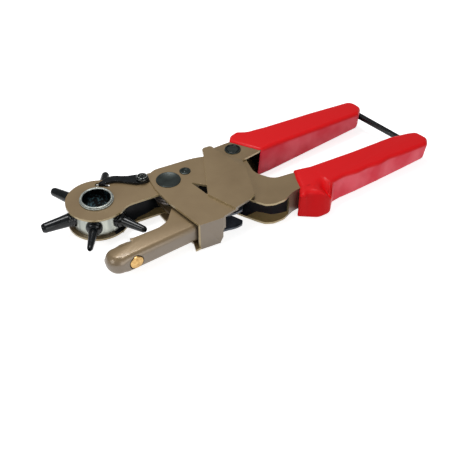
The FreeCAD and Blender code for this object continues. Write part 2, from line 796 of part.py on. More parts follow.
dimple_place = (sizes["drum_radius"] + sizes["axle_radius"]) / 2
dimple_turn = math.radians(30.0)
dimple = drum.newObject("PartDesign::Pocket", "dimple")
dimple_circle = circle(
    dimple_place * math.cos(dimple_turn), dimple_place * math.sin(dimple_turn), steel
)
dimple.Profile = sketch(drum, "dimple_outline", dimple_circle, "XY_Plane", drum_half)
dimple.setExpression("Length", "Sizes.steel / 2")
dimple.SideType = "One side"
doc.recompute()
around = drum.newObject("PartDesign::PolarPattern", "around_drum")
around.Originals = [tube_hole, tube_seat, dimple]
around.Axis = (next(a for a in drum.Origin.OriginFeatures if a.Role == "Z_Axis"), [""])
around.Angle = 360.0
around.Occurrences = len(punch_bores)
drum.Tip = around
doc.recompute()
drum.Placement = FreeCAD.Placement(
    vector(0, 0, 0), FreeCAD.Rotation(vector(0, 0, 1), sizes["drum_angle"])
)

# Six punch tubes: the sizes follow each other round the drum.
tube_nodes = []
for number, bore in enumerate(punch_bores):
    label = "punch_tube_%d" % round(bore * 10)
    tip_outer = bore / 2 + sizes["tube_wall"]
    collar_end = sizes["collar_seat"] + sizes["collar_length"]
    tip = sizes["tip_radius"]
    shank = doc.addObject("Part::Cylinder", label + "_shank")
    shank.setExpression("Radius", "Sizes.shank_radius")
    shank.setExpression("Height", "Sizes.shank_length")
    shank.Placement.Base = vector(0, 0, sizes["collar_seat"] - sizes["shank_length"])
    collar = doc.addObject("Part::Cylinder", label + "_collar")
    collar.setExpression("Radius", "Sizes.collar_radius")
    collar.setExpression("Height", "Sizes.collar_length")
    collar.Placement.Base = vector(0, 0, sizes["collar_seat"])
    barrel = doc.addObject("Part::Cone", label + "_barrel")
    barrel.Radius1 = tip_outer + sizes["tube_taper"]
    barrel.Radius2 = tip_outer
    barrel.Height = tip - sizes["bevel_length"] - collar_end
    barrel.Placement.Base = vector(0, 0, collar_end)
    edge = doc.addObject("Part::Cone", label + "_edge")
    edge.Radius1 = tip_outer
    edge.Radius2 = bore / 2 + sizes["edge_wall"]
    edge.setExpression("Height", "Sizes.bevel_length")
    edge.Placement.Base = vector(0, 0, tip - sizes["bevel_length"])
    solid = fused(label + "_solid", [shank, collar, barrel, edge])
    hole = doc.addObject("Part::Cylinder", label + "_bore")
    hole.Radius = bore / 2
    hole.Height = tip
    tube = cut(label, solid, hole)
    turn = math.radians(sizes["drum_angle"] + 60.0 * (number - 2))
    radial = vector(math.cos(turn), math.sin(turn), 0)
    tube.Placement = FreeCAD.Placement(vector(0, 0, 0), FreeCAD.Rotation(vector(0, 0, 1), radial))
    tube_nodes.append(tube)

# Hollow axle: an eyelet with a rolled bright flange over a washer at each end.
axle_top = turret_half + sizes["washer_thick"]
axle_rule = "2 * (Sizes.turret_half + Sizes.washer_thick)"
axle_core = cylinder("axle_core", "Sizes.axle_radius", axle_rule, 0, 0, -axle_top)
lip_top = cylinder("lip_top", "Sizes.axle_flange", "Sizes.axle_lip", 0, 0, axle_top)
lip_low = cylinder("lip_low", "Sizes.axle_flange", "Sizes.axle_lip", 0, 0,
                   -axle_top - sizes["axle_lip"])
axle_solid = fused("axle_solid", [axle_core, lip_top, lip_low])
axle_hole = cylinder("axle_hole_tool", "Sizes.axle_bore", axle_rule + " + 2 * Sizes.axle_lip",
                     0, 0, -axle_top - sizes["axle_lip"])
axle = cut("drum_axle", axle_solid, axle_hole)
rings = []
for label, low in (("top", turret_half), ("low", -axle_top)):
    disc = cylinder("washer_disc_" + label, "Sizes.washer_radius", "Sizes.washer_thick", 0, 0, low)
    rings.append(disc)
washers = cut("axle_washers", fused("washer_discs", rings), axle_core)

# Main pivot rivet, the bush inside the spring and the two shims beside the anvil jaw.
head_rule = "Sizes.main_head_thick"
main_body = cylinder("main_body", "Sizes.main_shank", plate_rule, pivot_x, pivot_y, -plate_half)
main_top = cylinder("main_top", "Sizes.main_head", head_rule, pivot_x, pivot_y, plate_half)
main_low = cylinder("main_low", "Sizes.main_head", head_rule, pivot_x, pivot_y,
                    -plate_half - sizes["main_head_thick"])
main_rivet = fused("main_pivot_rivet", [main_body, main_top, main_low])
bush_half = anvil_inner - sizes["side_gap"] / 2
bush_solid = cylinder("bush_solid", "Sizes.bush_radius", "2 * (Sizes.turret_half - 2 * Sizes.steel"
                      " - 2.5 * Sizes.side_gap)", pivot_x, pivot_y, -bush_half)
bush = cut("pivot_bush", bush_solid, main_body)
shim_discs = []
shim_low = (turret_inner + anvil_half - sizes["shim_thick"]) / 2
for label, low in (("top", shim_low), ("low", -shim_low - sizes["shim_thick"])):
    disc = cylinder("shim_disc_" + label, "Sizes.shim_radius", "Sizes.shim_thick",
                    pivot_x, pivot_y, low)
    shim_discs.append(disc)
shims = cut("jaw_shims", fused("shim_pair", shim_discs), main_body)

# Two short rivets join the turret jaw's tail to the frame, one on each side.
small_rivets = []
grip_length = "2 * Sizes.steel"
for label, side in (("top", 1), ("low", -1)):
    low = turret_inner if side > 0 else -plate_half
    head_low = plate_half if side > 0 else -plate_half - sizes["main_head_thick"]
    small_rivets.append(cylinder("small_shank_" + label, "Sizes.frame_rivet_shank", grip_length,
                                 frame_rivet_x, frame_rivet_y, low))
    small_rivets.append(cylinder("small_head_" + label, "Sizes.frame_rivet_head", head_rule,
                                 frame_rivet_x, frame_rivet_y, head_low))
frame_rivets = fused("frame_rivets", small_rivets)

# Handle pivot rivet.
pin_body = cylinder("handle_body", "Sizes.handle_shank", plate_rule, handle_x, handle_y, -plate_half)
pin_top = cylinder("handle_top", "Sizes.handle_head", "Sizes.handle_head_thick",
                   handle_x, handle_y, plate_half)
pin_low = cylinder("handle_low", "Sizes.handle_head", "Sizes.handle_head_thick",
                   handle_x, handle_y, -plate_half - sizes["handle_head_thick"])
handle_rivet = fused("handle_pivot_rivet", [pin_body, pin_top, pin_low])

# Thrust pin: riveted through both cheeks of the lower handle, it pushes the jaw's tail.
thrust_core = cylinder("thrust_core", "Sizes.thrust_radius", "2 * (Sizes.turret_half"
                       " - Sizes.side_gap - Sizes.steel)", thrust_x, thrust_y, -lower_inner)
thrust_ends = cylinder("thrust_ends", "Sizes.thrust_end", lower_rule, thrust_x, thrust_y, -lower_half)
thrust_pin = fused("thrust_pin", [thrust_core, thrust_ends])

# Index lever: a black spring strip held by a screw, its nose turned down to the drum.
index = new_body("index_lever")
strip_low = turret_half + sizes["lever_gap"]
strip_run = math.hypot(window_x - screw_x, window_y - screw_y)
strip_way = ((window_x - screw_x) / strip_run, (window_y - screw_y) / strip_run)


def strip(along, across, corner=0.0):
    """A plan point in shares of the way from the screw to the window, and square to it."""
    x = screw_x + strip_run * (along * strip_way[0] + across * strip_way[1])
    y = screw_y + strip_run * (along * strip_way[1] - across * strip_way[0])
    return (x, y, corner * strip_run)


strip_points = [
    strip(-0.180, -0.099, 0.09),
    strip(-0.124, 0.201, 0.11),
    strip(0.067, 0.196, 0.36),
    strip(0.432, 0.168, 0.71),
    strip(0.689, 0.242, 0.36),
    strip(0.829, 0.206, 0.18),
    strip(1.071, 0.022, 0.04),
    strip(1.037, -0.053, 0.02),
    strip(0.838, 0.003, 0.18),
    strip(0.654, 0.025, 0.53),
    strip(0.450, -0.049, 0.71),
    strip(0.126, -0.170, 0.36),
]
pad(index, "index_strip", outline(strip_points), "Sizes.steel", strip_low)
nose_box = slanted_box(window_x, window_y, 0.5 * window_long, 0.55 * window_wide, window_slope)
nose_low_z = drum_half + sizes["drum_gap"] + sizes["side_gap"] / 2
nose_pad = index.newObject("PartDesign::Pad", "index_nose")
nose_pad.Profile = sketch(index, "index_nose_outline", outline(nose_box), offset=nose_low_z)
nose_pad.SideType = "One side"
nose_pad.Length = strip_low - nose_low_z + steel / 2
doc.recompute()
pocket(index, "index_hole", circle(screw_x, screw_y, sizes["screw_shank"] + sizes["side_gap"]))

screw_stem_low = turret_inner
strip_top = strip_low + steel
screw_rest = strip_top + sizes["lever_gap"]
screw_stem = doc.addObject("Part::Cylinder", "screw_stem")
screw_stem.setExpression("Radius", "Sizes.screw_shank")
screw_stem.Height = screw_rest - screw_stem_low
screw_stem.Placement.Base = vector(screw_x, screw_y, screw_stem_low)
screw_cap = cylinder("screw_cap", "Sizes.screw_head", "Sizes.screw_head_thick",
                     screw_x, screw_y, screw_rest)
index_screw = fused("index_screw", [screw_stem, screw_cap])

# Latch: a flat hook on a pin in the lower handle, caught over a pin in the upper one.
pin_half_rule = "2 * Sizes.tang_half"
latch_pin = cylinder("latch_pivot_pin", "Sizes.latch_pin", pin_half_rule, latch_x, latch_y, -tang_half)
catch_pin = cylinder("latch_catch_pin", "Sizes.latch_pin", pin_half_rule, catch_x, catch_y, -tang_half)
latch_pin.Label = "latch_pivot_pin"
catch_pin.Label = "latch_catch_pin"
latch = new_body("latch_hook")
latch_rule = "Sizes.latch_thick"
clear = sizes["latch_pin"] + sizes["side_gap"] * 2
bar = sizes["latch_width"]
lean = (latch_x - catch_x) / (latch_y - catch_y)
shank_low_x = latch_x - bar / 2
shank_high_x = catch_x + clear
hook_top = catch_y + clear + bar
latch_points = [
    (shank_low_x, latch_y),
    (latch_x + bar / 2, latch_y),
    (shank_high_x + bar, hook_top, bar * 0.6),
    (catch_x - 0.8 * clear, hook_top),
    (catch_x - 0.8 * clear, hook_top - bar),
    (shank_high_x, hook_top - bar),
]
pad(latch, "latch_bar", outline(latch_points), latch_rule)
pad(latch, "latch_boss_disc", circle(latch_x, latch_y, sizes["latch_boss"]), latch_rule)
pocket(latch, "latch_pin_hole", circle(latch_x, latch_y, sizes["latch_pin"] + fit))


# Return spring: a coil round the pivot bush, one leg to each jaw.
def biarc(start, start_way, end, end_way):
    """Two tangent arcs from start to end that follow the two directions."""
    gap = end - start
    ways = start_way + end_way
    a = 2 * (1 - start_way.dot(end_way))
    b = 2 * gap.dot(ways)
    c = -gap.dot(gap)
    reach_out = (-b + math.sqrt(b * b - 4 * a * c)) / (2 * a)
    first = start + start_way * reach_out
    second = end - end_way * reach_out
    joint = (first + second) * 0.5
    arcs = []
    for tail, control, tip_point in ((start, first, joint), (joint, second, end)):
        half_chord = (tip_point - tail).Length / 2
        chord_middle = (tail + tip_point) * 0.5
        rise = (control - chord_middle).Length
        turn_half = math.atan2(rise, half_chord)
        share_up = math.tan(turn_half / 2) / math.tan(turn_half)
        arcs.append(Part.Arc(tail, chord_middle + (control - chord_middle) * share_up, tip_point))
    return arcs


def spring_point(quarter):
    turn = math.radians(90.0 * quarter)
    radius = sizes["spring_radius"]
    height = sizes["spring_pitch"] * (quarter / 4 - sizes["spring_turns"] / 2)
    place = vector(pivot_x + radius * math.cos(turn), pivot_y + radius * math.sin(turn), height)
    climb = sizes["spring_pitch"] / (2 * math.pi)
    way = vector(-radius * math.sin(turn), radius * math.cos(turn), climb).normalize()
    return place, way


quarters = 4 * sizes["spring_turns"]
wire = sizes["spring_wire"]
leg_gap = sizes["thrust_gap"]
first_point, first_way = spring_point(0)
last_point, last_way = spring_point(quarters)
bend = 1.5 * wire
level_low = vector(0, -1, 0)
low_turn_end = first_point - vector(0, bend, bend * first_way.z / 2)
low_start = vector(low_turn_end.x, pivot_y - 0.93 * depth + steel + leg_gap, low_turn_end.z)
high_turn_end = last_point + vector(0, bend, bend * last_way.z / 2)
high_end = vector(high_turn_end.x, spine_y - steel - leg_gap, high_turn_end.z)
path = [Part.LineSegment(low_start, low_turn_end)]
path += biarc(low_turn_end, vector(0, 1, 0), first_point, first_way)
for quarter in range(quarters):
    here, here_way = spring_point(quarter)
    there, there_way = spring_point(quarter + 1)
    path += biarc(here, here_way, there, there_way)
path += biarc(last_point, last_way, high_turn_end, vector(0, 1, 0))
path.append(Part.LineSegment(high_turn_end, high_end))
spring_path = Part.Wire([edge.toShape() for edge in path])
profile = Part.Wire(Part.Circle(low_start, vector(0, 1, 0), wire / 2).toShape())
spring_shape = spring_path.makePipeShell([profile], True, False)
spring = doc.addObject("Part::Feature", "return_spring")
spring.Label = "return_spring"
spring.Shape = spring_shape
coil_points = []
for quarter in range(quarters):
    for share in (0.0, 0.25, 0.5, 0.75):
        coil_points.append((quarter + share, spring_point(quarter + share)[0]))
least_gap = min(
    (first[1] - second[1]).Length - wire
    for first in coil_points
    for second in coil_points
    if second[0] - first[0] > 2
)
print("spring: least gap between turns %.2f mm" % least_gap)
print("spring: volume over section times length %.4f"
      % (spring_shape.Volume / (math.pi * wire * wire / 4 * spring_path.Length)))

nodes = [
    turret, anvil_hole, frame, lower, upper_grip, lower_grip, drum, axle, washers, main_rivet, bush,
    shims, frame_rivets, handle_rivet, thrust_pin, index, index_screw, latch, latch_pin, catch_pin,
    spring, brass_bevel,
] + tube_nodes
doc.recompute()
for item in doc.Objects:
    if "Invalid" in item.State or "Error" in item.State:
        raise RuntimeError(item.Name + " did not rebuild: " + str(item.State))
os.makedirs("parts", exist_ok=True)
for node in nodes:
    shape = node.Shape
    if shape.isNull() or not shape.isValid():
        raise RuntimeError(node.Label + " has no valid shape")
    shape.exportStep("parts/" + node.Label + ".step")
    print(node.Label, len(shape.Solids), round(shape.Volume, 1))
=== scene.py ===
import bmesh
import bpy
import math
from mathutils import Matrix, Vector
from mathutils.bvhtree import BVHTree


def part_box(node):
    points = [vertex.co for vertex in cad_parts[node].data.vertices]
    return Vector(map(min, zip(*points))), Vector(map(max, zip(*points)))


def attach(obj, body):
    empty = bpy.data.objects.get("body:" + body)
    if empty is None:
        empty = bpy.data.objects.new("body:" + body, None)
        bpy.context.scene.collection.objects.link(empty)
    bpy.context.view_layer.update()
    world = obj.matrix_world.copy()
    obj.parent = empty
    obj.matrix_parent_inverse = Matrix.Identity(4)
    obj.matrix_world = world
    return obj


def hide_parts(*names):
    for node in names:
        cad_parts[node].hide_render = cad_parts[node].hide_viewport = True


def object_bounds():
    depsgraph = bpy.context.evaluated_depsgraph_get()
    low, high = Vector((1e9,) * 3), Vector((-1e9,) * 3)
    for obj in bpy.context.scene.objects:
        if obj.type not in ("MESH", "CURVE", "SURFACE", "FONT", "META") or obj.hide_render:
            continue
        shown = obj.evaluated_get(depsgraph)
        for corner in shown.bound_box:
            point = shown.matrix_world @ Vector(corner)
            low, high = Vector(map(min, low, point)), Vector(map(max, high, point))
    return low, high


# Revolving hole punch pliers: a turning drum of punch tubes in one jaw, a brass anvil in the
# other, and compound levers with red grips, held shut by a storage latch.
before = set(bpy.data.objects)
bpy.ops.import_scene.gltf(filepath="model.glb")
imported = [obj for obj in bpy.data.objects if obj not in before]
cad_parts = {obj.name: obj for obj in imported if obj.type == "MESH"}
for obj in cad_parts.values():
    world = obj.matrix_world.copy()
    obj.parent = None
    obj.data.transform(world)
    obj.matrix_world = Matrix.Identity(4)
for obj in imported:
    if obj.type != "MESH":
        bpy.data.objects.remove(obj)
cad_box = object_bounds()
scene = bpy.context.scene
mm = 0.001

# Camera: a short telephoto view from the left front, 42 degrees above the bench. Its place and
# its lens were fitted to the photograph.
sensor_width = 36.0
focal_pixels = 850
picture_pixels = 470
view_turn = math.radians(27.0)
view_tilt = math.radians(42.0)
view_target = Vector((0.063192, -0.057235, 0.0))
view_distance = 0.494224
camera_data = bpy.data.cameras.new("camera")
camera_data.sensor_width = sensor_width
camera_data.lens = sensor_width * focal_pixels / picture_pixels
camera = bpy.data.objects.new("camera", camera_data)
scene.collection.objects.link(camera)
ahead = Vector((math.sin(view_turn), math.cos(view_turn), 0.0)) * math.cos(view_tilt)
ahead.z = -math.sin(view_tilt)
camera.location = view_target - ahead * view_distance
camera.rotation_euler = ahead.to_track_quat("-Z", "Y").to_euler()
scene.camera = camera

# Ground: the white sweep of a product photograph. Lamps light it as they light the tool, and a
# glow that only the camera and reflections see lifts it to white, so that a faint shadow stays.
ground_half = 2.0
ground_drop = 0.4 * mm
paper_glow = 0.80


def linear(hex_code):
    """A linear RGBA colour from an sRGB hex value."""
    parts = [int(hex_code[start:start + 2], 16) / 255 for start in (0, 2, 4)]
    return [p / 12.92 if p <= 0.04045 else ((p + 0.055) / 1.055) ** 2.4 for p in parts] + [1.0]


def add_node(tree, kind, settings=None, inputs=None):
    """A node with its settings; an input is a constant or another node's output."""
    made = tree.nodes.new(kind)
    for name, value in (settings or {}).items():
        setattr(made, name, value)
    for name, value in (inputs or {}).items():
        if isinstance(value, bpy.types.NodeSocket):
            tree.links.new(value, made.inputs[name])
        else:
            made.inputs[name].default_value = value
    return made


ground_mesh = bpy.data.meshes.new("white_sweep")
ground_form = bmesh.new()
bmesh.ops.create_grid(ground_form, x_segments=1, y_segments=1, size=ground_half)
bmesh.ops.translate(ground_form, verts=ground_form.verts, vec=(0, 0, cad_box[0].z - ground_drop))
ground_form.to_mesh(ground_mesh)
ground_form.free()
ground = bpy.data.objects.new("white_sweep", ground_mesh)
scene.collection.objects.link(ground)
paper = bpy.data.materials.new("matt_white_paper")
paper.use_nodes = True
tree = paper.node_tree
tree.nodes.clear()
matt = add_node(tree, "ShaderNodeBsdfDiffuse", inputs={"Color": linear("dcdcdc")})
glow = add_node(tree, "ShaderNodeEmission", inputs={"Strength": paper_glow})
dark = add_node(tree, "ShaderNodeEmission", inputs={"Strength": 0.0})
ray = add_node(tree, "ShaderNodeLightPath")
seen = add_node(tree, "ShaderNodeMath", {"operation": "MAXIMUM"}, {
    0: ray.outputs["Is Camera Ray"], 1: ray.outputs["Is Glossy Ray"]})
lift = add_node(tree, "ShaderNodeMixShader", inputs={
    0: seen.outputs[0], 1: dark.outputs[0], 2: glow.outputs[0]})
both = add_node(tree, "ShaderNodeAddShader", inputs={0: matt.outputs[0], 1: lift.outputs[0]})
add_node(tree, "ShaderNodeOutputMaterial", inputs={"Surface": both.outputs[0]})
ground_mesh.materials.append(paper)

# Studio: white to the camera, a pale grey in mirrors and dim as a lamp, so that the soft boxes
# shape the tool.
room_light, mirrored_light, backdrop_light = 0.16, 0.30, 1.0
studio = bpy.data.worlds.new("white_studio")
studio.use_nodes = True
scene.world = studio
tree = studio.node_tree
tree.nodes.clear()
room = add_node(tree, "ShaderNodeBackground", inputs={
    "Color": linear("f4f6fa"), "Strength": room_light})
mirrored = add_node(tree, "ShaderNodeBackground", inputs={
    "Color": linear("ffffff"), "Strength": mirrored_light})
backdrop = add_node(tree, "ShaderNodeBackground", inputs={
    "Color": linear("ffffff"), "Strength": backdrop_light})
ray = add_node(tree, "ShaderNodeLightPath")
around = add_node(tree, "ShaderNodeMixShader", inputs={
    0: ray.outputs["Is Glossy Ray"], 1: room.outputs[0], 2: mirrored.outputs[0]})
sky = add_node(tree, "ShaderNodeMixShader", inputs={
    0: ray.outputs["Is Camera Ray"], 1: around.outputs[0], 2: backdrop.outputs[0]})
add_node(tree, "ShaderNodeOutputWorld", inputs={"Surface": sky.outputs[0]})

# Lamps: a soft box overhead and a little behind the tool, a weaker one beyond the drum at the
# left and a low, wide one in front. Each has its place, its aim, its size and its power in watts.
softboxes = [
    ("overhead_softbox", (0.04, 0.14, 0.60), (0.07, -0.02, 0.0), 0.24, 2.5),
    ("left_softbox", (-0.45, -0.10, 0.30), (0.07, -0.02, 0.0), 0.25, 0.9),
    ("front_softbox", (0.16, -0.62, 0.20), (0.08, -0.02, 0.0), 0.40, 1.5),
]
for lamp_name, place, aim, size, power in softboxes:
    lamp_data = bpy.data.lights.new(lamp_name, "AREA")
    lamp_data.energy = power
    lamp_data.size = size
    lamp = bpy.data.objects.new(lamp_name, lamp_data)
    scene.collection.objects.link(lamp)
    lamp.location = place
    lamp.rotation_euler = (Vector(aim) - Vector(place)).to_track_quat("-Z", "Y").to_euler()
scene.view_settings.view_transform = "Standard"

# Jaws and levers: four channels pressed from sheet steel, nested in one another, riveted and
# stove enamelled. The sheared edges keep a small rounded lip, painted pale as a highlight, and
# inside the channels the shade is painted on in near black.
sheet_thick = 1.4 * mm
edge_lip = 0.55 * mm
crease_angle = 34.0
merge_reach = 0.002 * mm
cut_reach = 0.001 * mm
flat_angle = math.radians(0.6)
# Places in the list of channel paints: enamel outside, painted shade inside, the painted highlight on
# sheared edges and lit floor rims, and the painted shade on the jaw's tail and on the lever's end.
outside, inside, sheared, jaw_tail, lever_end = range(5)


def cleaned_copy(node):
    """The node's own triangles, joined up and with flat faces made whole again."""
    form = bmesh.new()
    form.from_mesh(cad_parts[node].data)
    bmesh.ops.remove_doubles(form, verts=form.verts, dist=merge_reach)
    bmesh.ops.dissolve_limit(form, angle_limit=flat_angle, verts=form.verts, edges=form.edges)
    return form


def finished(name, form, body, materials, replaced, lip=0.0, crease=crease_angle, lip_material=-1):
    """Makes the mesh an object on its body, with soft edges and smooth shading."""
    mesh = bpy.data.meshes.new(name)
    form.to_mesh(mesh)
    form.free()
    for material in materials:
        mesh.materials.append(material)
    for polygon in mesh.polygons:
        polygon.use_smooth = True
    mesh.set_sharp_from_angle(angle=math.radians(crease))
    piece = bpy.data.objects.new(name, mesh)
    scene.collection.objects.link(piece)
    if lip > 0:
        softened = piece.modifiers.new("soft_edges", "BEVEL")
        softened.width = lip
        softened.segments = 2
        softened.limit_method = "ANGLE"
        softened.angle_limit = math.radians(crease)
        softened.harden_normals = True
        softened.use_clamp_overlap = True
        softened.material = lip_material
    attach(piece, body)
    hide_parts(replaced)


def cut_across(form, faces, place, way):
    """Cuts some of a form's faces by the plane through a place, and gives what they become."""
    corners = {corner for face in faces for corner in face.verts}
    sides = {side for face in faces for side in face.edges}
    cut = bmesh.ops.bisect_plane(form, geom=list(corners) + list(sides) + list(faces),
                                 dist=cut_reach, plane_co=place, plane_no=way)
    return [part for part in cut["geom"] if isinstance(part, bmesh.types.BMFace)]


def how_far(value, start, end):
    """How far a value has gone from a start to an end, held between 0 and 1."""
    return min(max((value - start) / (end - start), 0.0), 1.0)


def eased(part):
    """A share from 0 to 1 that sets off and arrives gently."""
    return part * part * (3 - 2 * part)


def line_at(points, x):
    """The y of a line through (x, y) points at one x, or None beyond its ends."""
    for start, end in zip(points, points[1:]):
        if start[0] <= x < end[0]:
            return start[1] + (x - start[0]) / (end[0] - start[0]) * (end[1] - start[1])
    return None


def hidden_share(face, shell):
    """How much of the sky over a face its own piece covers, from 0 to 1."""
    rays = 32
    reach, lift_off = 60 * mm, 0.05 * mm
    golden_turn = math.pi * (3 - math.sqrt(5))
    normal = face.normal
    side = normal.orthogonal().normalized()
    other = normal.cross(side)
    eye = face.calc_center_median() + normal * lift_off
    hits = 0
    for ray in range(rays):
        height = (ray + 0.5) / rays
        turn = ray * golden_turn
        flat = math.sqrt(1 - height * height)
        way = normal * height + side * flat * math.cos(turn) + other * flat * math.sin(turn)
        if shell.ray_cast(eye, way, reach)[0] is not None:
            hits += 1
    return hits / rays


def paint_inside(form, limit, edge_paint):
    """Paints shade on a channel's hidden walls and ceilings, and gives its sheared edges their paint.
    """
    shell = BVHTree.FromBMesh(form)
    edge_width = 1.05 * sheet_thick
    for face in form.faces:
        heights = [corner.co.z for corner in face.verts]
        upright = abs(face.normal.z) < 0.1
        narrow = 2 * face.calc_area() / face.calc_perimeter() < edge_width
        low_step = max(heights) - min(heights) < edge_width
        floor = face.normal.z > 0.9
        if upright and narrow and (low_step or abs(face.normal.x) > 0.5):
            face.material_index = edge_paint
        elif not floor and hidden_share(face, shell) > limit:
            face.material_index = inside


def paint_floor(form, level, border):
    """Paints shade on the floor at one level beyond a border of (x, y) points, and pale light in front
    of it.
    """
    floors = [face for face in form.faces
              if face.normal.z > 0.9 and abs(face.calc_center_median().z - level) < 0.2 * mm]
    cuts = [(place, (1, 0, 0)) for place in border]
    cuts += [(start, (start[1] - end[1], end[0] - start[0], 0))
             for start, end in zip(border, border[1:])]
    for place, way in cuts:
        floors = cut_across(form, floors, (place[0] * mm, place[1] * mm, 0), way)
    for face in floors:
        centre = face.calc_center_median() / mm
        border_y = line_at(border, centre.x)
        if border_y is not None:
            face.material_index = inside if centre.y > border_y else sheared


def paint_end(form, cut_x, side, paint):
    """Gives all that lies on one side of a line square to the tool another paint."""
    cut_across(form, form.faces[:], (cut_x, 0, 0), (1, 0, 0))
    for face in form.faces:
        if (face.calc_center_median().x - cut_x) * side > 0:
            face.material_index = paint


def dome_nose(form):
    """Presses the anvil jaw's round nose into a dome, fading out where the jaw's bar begins."""
    centre_x, centre_y = -5.2 * mm, -47.1 * mm
    half_x, half_y, half_thick = 7.4 * mm, 8.2 * mm, 6.3 * mm
    fold, new_fold = 3.8 * mm, 6.0 * mm
    bar_slope, bar_reach, fade = 0.17, 30 * mm, 5.0 * mm
    cuts, cut_step = 14, 1.2 * mm
    near = [face for face in form.faces if face.calc_center_median().x < centre_x + bar_reach]
    for way, start in ((Vector((1, 0, 0)), centre_x - half_x), (Vector((0, 1, 0)), centre_y - half_y)):
        for step in range(1, cuts + 1):
            near = cut_across(form, near, way * (start + step * cut_step), way)
    for corner in form.verts:
        ahead = corner.co.x - centre_x
        across = (corner.co.y - centre_y - bar_slope * max(ahead, 0.0)) / half_y
        off = min(math.hypot(min(ahead, 0.0) / half_x, across), 1.0)
        inward = (1 - off) * half_x
        old_dip = fold - math.sqrt(fold ** 2 - max(fold - inward, 0.0) ** 2)
        new_dip = new_fold - math.sqrt(new_fold ** 2 - max(new_fold - inward, 0.0) ** 2)
        ratio = (half_thick - new_dip) / (half_thick - old_dip)
        corner.co.z *= 1 - eased(how_far(ahead, fade, 0.0)) * (1 - ratio)


def new_finish(name, settings):
    """A material with some inputs of its shader set, and its node tree and shader."""
    made = bpy.data.materials.new(name)
    made.use_nodes = True
    shader = made.node_tree.nodes["Principled BSDF"]
    for setting, value in settings.items():
        shader.inputs[setting].default_value = value
    return made, made.node_tree, shader


def soft_patches(tree, size, detail, low, high):
    """Patches of two tones, each given by its place in the noise and its colour."""
    places = add_node(tree, "ShaderNodeTexCoord")
    cloud = add_node(tree, "ShaderNodeTexNoise", inputs={
        "Vector": places.outputs["Object"], "Scale": 1 / size, "Detail": detail})
    tones = add_node(tree, "ShaderNodeValToRGB", inputs={"Fac": cloud.outputs["Fac"]})
    for stop, (position, tone) in zip(tones.color_ramp.elements, (low, high)):
        stop.position = position
        stop.color = linear(tone)
    return tones.outputs["Color"]


def fine_relief(tree, size, strength):
    """Low hills of one size that break up the shine."""
    places = add_node(tree, "ShaderNodeTexCoord")
    hills = add_node(tree, "ShaderNodeTexNoise", inputs={
        "Vector": places.outputs["Object"], "Scale": 1 / size, "Detail": 2.0})
    relief = add_node(tree, "ShaderNodeBump", inputs={
        "Height": hills.outputs["Fac"], "Strength": strength, "Distance": 0.1 * mm})
    return relief.outputs["Normal"]


def mottled(name, size, detail, low, high, settings):
    """A finish in soft patches of two tones."""
    made, tree, shader = new_finish(name, settings)
    tree.links.new(soft_patches(tree, size, detail, low, high), shader.inputs["Base Color"])
    return made


# Stove enamel, a metallic taupe: satin, with the orange peel of sprayed paint. Its colour is
# painted bronze where a face looks up and greyer on the sides, for how light falls on them. The
# pale, golden, glossier copy is a painted highlight for sheet edges and lit floor rims.
def stove_enamel(name, side_tone, low_tone, high_tone, roughness):
    made, tree, shader = new_finish(name, {
        "Roughness": roughness, "Metallic": 0.25, "Coat Weight": 0.35, "Coat Roughness": 0.12})
    upper = soft_patches(tree, 22 * mm, 4.0, (0.32, low_tone), (0.68, high_tone))
    places = add_node(tree, "ShaderNodeTexCoord")
    facing = add_node(tree, "ShaderNodeSeparateXYZ", inputs={"Vector": places.outputs["Normal"]})
    level = add_node(tree, "ShaderNodeMath", {"operation": "ABSOLUTE"}, {0: facing.outputs["Z"]})
    tint = add_node(tree, "ShaderNodeMix", {"data_type": "RGBA"}, {
        0: level.outputs[0], 6: linear(side_tone), 7: upper})
    tree.links.new(tint.outputs[2], shader.inputs["Base Color"])
    tree.links.new(fine_relief(tree, 0.7 * mm, 0.06), shader.inputs["Normal"])
    return made


enamel = stove_enamel("satin_taupe_stove_enamel", "7a6d5d", "7e694a", "8a7555", 0.38)
edge_highlight_enamel = stove_enamel("taupe_enamel_painted_highlight_lip", "a9966f", "a08756", "b69c66", 0.30)

# Painted shade inside the channels: near black and dull. A greyer, bluer copy of it is painted
# on the anvil jaw's tail, where some light reaches the shade, and a matt painted shadow on the
# lever's end deep between the plates.
painted_shade_black = mottled("painted_shade_near_black", 6 * mm, 5.0, (0.35, "0f1013"), (0.72, "22262e"),
                 {"Roughness": 0.40, "Specular IOR Level": 0.4})
tail_painted_shade = mottled("painted_shade_grey_on_tail", 6 * mm, 5.0, (0.35, "353a42"), (0.72, "565d68"),
                      {"Roughness": 0.35, "Specular IOR Level": 0.5})
end_painted_shadow = mottled("painted_shadow_matt_on_end", 6 * mm, 5.0, (0.35, "050404"), (0.72, "0a0807"),
                      {"Roughness": 0.90, "Specular IOR Level": 0.05})
channel_paints = [enamel, painted_shade_black, edge_highlight_enamel, tail_painted_shade, end_painted_shadow]
